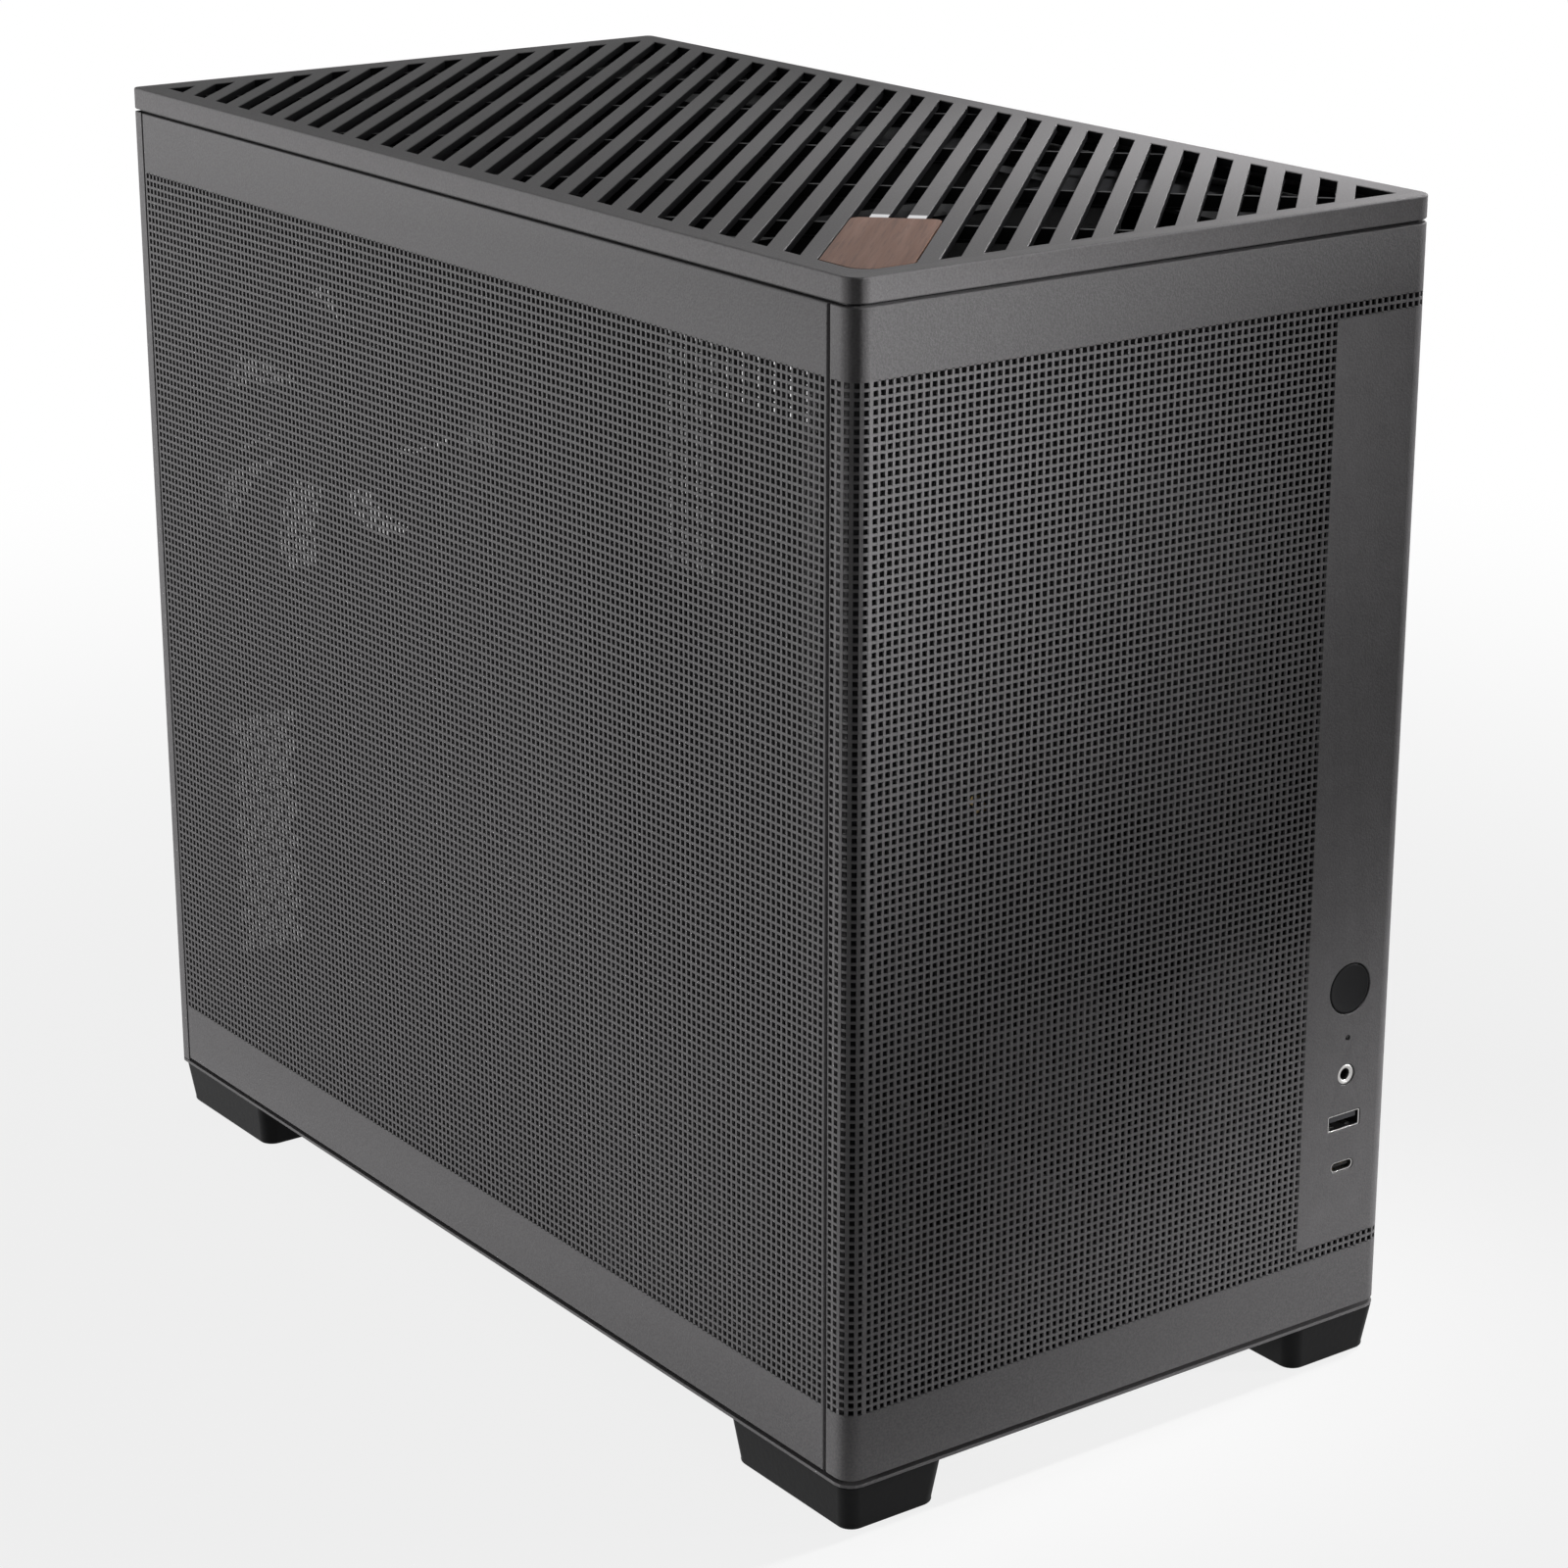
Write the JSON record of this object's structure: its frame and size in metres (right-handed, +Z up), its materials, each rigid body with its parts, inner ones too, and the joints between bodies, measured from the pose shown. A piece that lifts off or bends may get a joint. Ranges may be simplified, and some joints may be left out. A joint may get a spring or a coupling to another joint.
{
  "type": "computer case",
  "caption": "Upright micro ATX computer case with perforated steel panels, a diagonally slotted top cover with a wooden badge, and an inner chassis.",
  "frame": {"origin": "middle of the case in plan, at the underside of the foot pads", "axes": "+X towards the case's right side as seen from the front, +Y from the front panel to the rear wall, +Z up"},
  "size_m": [0.213, 0.407, 0.372],
  "materials": {
    "powder_coat_grey": "fine dark grey powder coat",
    "cover_grey": "fine dark grey coat, matched to the panels",
    "chassis_black": "black powder coat",
    "foot_black": "moulded, satin black",
    "rubber_black": "matt black",
    "walnut": "open-grain walnut, matt oil",
    "satin_metal": "satin",
    "button_black": "satin black",
    "lens_smoke": "smoked, gloss",
    "socket_black": "moulded black",
    "board_green": "solder mask",
    "brass": "turned",
    "fan_black": "moulded black"
  },
  "bodies": {
    "chassis": {"audio_jack": "satin_metal", "base_pan": "powder_coat_grey", "cable_grommet_1": "rubber_black", "cable_grommet_2": "rubber_black", "cable_grommet_3": "rubber_black", "clamp_screw_1": "satin_metal", "clamp_screw_2": "satin_metal", "drive_bracket": "chassis_black", "filter_runner_left": "chassis_black", "filter_runner_right": "chassis_black", "foot_front_left": "foot_black", "foot_front_right": "foot_black", "foot_pad_front_left": "rubber_black", "foot_pad_front_right": "rubber_black", "foot_pad_rear_left": "rubber_black", "foot_pad_rear_right": "rubber_black", "foot_rear_left": "foot_black", "foot_rear_right": "foot_black", "front_frame": "chassis_black", "indicator_lens": "lens_smoke", "io_board": "board_green", "io_carrier": "socket_black", "motherboard_tray": "chassis_black", "power_inlet": "socket_black", "psu_cage": "chassis_black", "rear_fan_frame": "fan_black", "rear_wall": "powder_coat_grey", "slot_clamp": "chassis_black", "slot_cover_1": "chassis_black", "slot_cover_2": "chassis_black", "slot_cover_3": "chassis_black", "slot_cover_4": "chassis_black", "slot_cover_5": "chassis_black", "standoff_1": "brass", "standoff_2": "brass", "standoff_3": "brass", "standoff_4": "brass", "standoff_5": "brass", "standoff_6": "brass", "standoff_7": "brass", "standoff_8": "brass", "standoff_9": "brass", "top_frame": "chassis_black", "usb_a_socket": "socket_black", "usb_c_socket": "satin_metal"},
    "top_cover": {"top_cover": "cover_grey", "wood_badge": "walnut", "badge_tip_1": "satin_metal", "badge_tip_2": "satin_metal"},
    "front_panel": {"front_panel": "powder_coat_grey"},
    "left_side_panel": {"left_side_panel": "powder_coat_grey"},
    "right_side_panel": {"right_side_panel": "powder_coat_grey"},
    "power_button": {"power_button": "button_black"},
    "rear_fan_rotor": {"rear_fan_rotor": "fan_black"},
    "bottom_filter": {"bottom_filter": "socket_black"}
  },
  "joints": [
    {"name": "top_cover_lift", "type": "slide", "parent": "chassis", "child": "top_cover", "axis": [0, 0, 1], "range_m": [0, 0.05]},
    {"name": "left_panel_pull", "type": "slide", "parent": "chassis", "child": "left_side_panel", "axis": [-1, 0, 0], "range_m": [0, 0.05]},
    {"name": "right_panel_pull", "type": "slide", "parent": "chassis", "child": "right_side_panel", "axis": [1, 0, 0], "range_m": [0, 0.05]},
    {"name": "front_panel_pull", "type": "slide", "parent": "chassis", "child": "front_panel", "axis": [0, -1, 0], "range_m": [0, 0.06]},
    {"name": "power_button_press", "type": "slide", "parent": "chassis", "child": "power_button", "axis": [0, 1, 0], "range_m": [0, 0.0012], "stiffness_N_per_m": 400},
    {"name": "rear_fan_spin", "type": "hinge", "parent": "chassis", "child": "rear_fan_rotor", "pos_m": [-0.038, 0.19, 0.245], "axis": [0, 1, 0], "continuous": true},
    {"name": "bottom_filter_slide", "type": "slide", "parent": "chassis", "child": "bottom_filter", "axis": [0, 1, 0], "range_m": [0, 0.2]}
  ]
}
